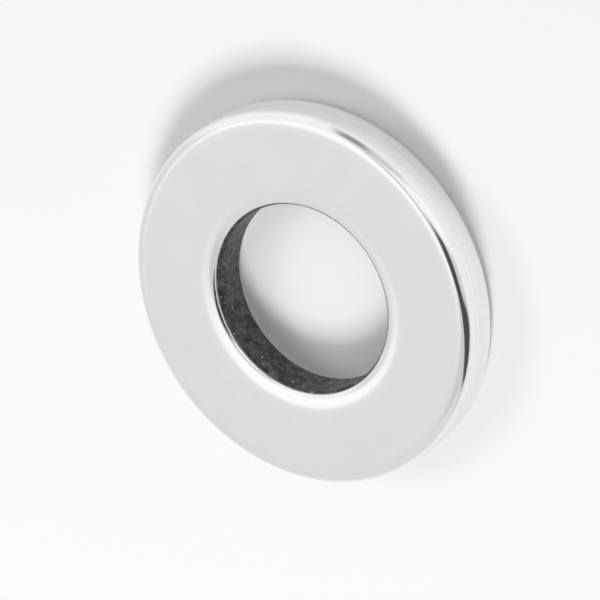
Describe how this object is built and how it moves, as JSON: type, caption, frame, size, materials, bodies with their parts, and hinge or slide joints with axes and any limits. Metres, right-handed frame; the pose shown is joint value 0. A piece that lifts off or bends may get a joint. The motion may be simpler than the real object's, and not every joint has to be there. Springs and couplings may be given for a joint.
{
  "type": "ring magnet",
  "caption": "Flat round ring magnet with a plain through hole and rounded edges, bright nickel plated, for pressing, gluing or clamping round a pin or into a pocket.",
  "frame": {"origin": "middle of the hole in the lower pole face, which the ring lies on", "axes": "+Z along the hole, out of the upper pole face; X and Y lie in the lower face, and the ring is the same all round"},
  "size_m": [0.012, 0.012, 0.0015],
  "materials": {
    "nickel_plating": "bright nickel plating, satin on the two ground faces, glossier on the rounded edges, finely ground round the outside and rougher in the hole"
  },
  "bodies": {
    "root": {"ring_magnet": "nickel_plating"}
  },
  "joints": []
}
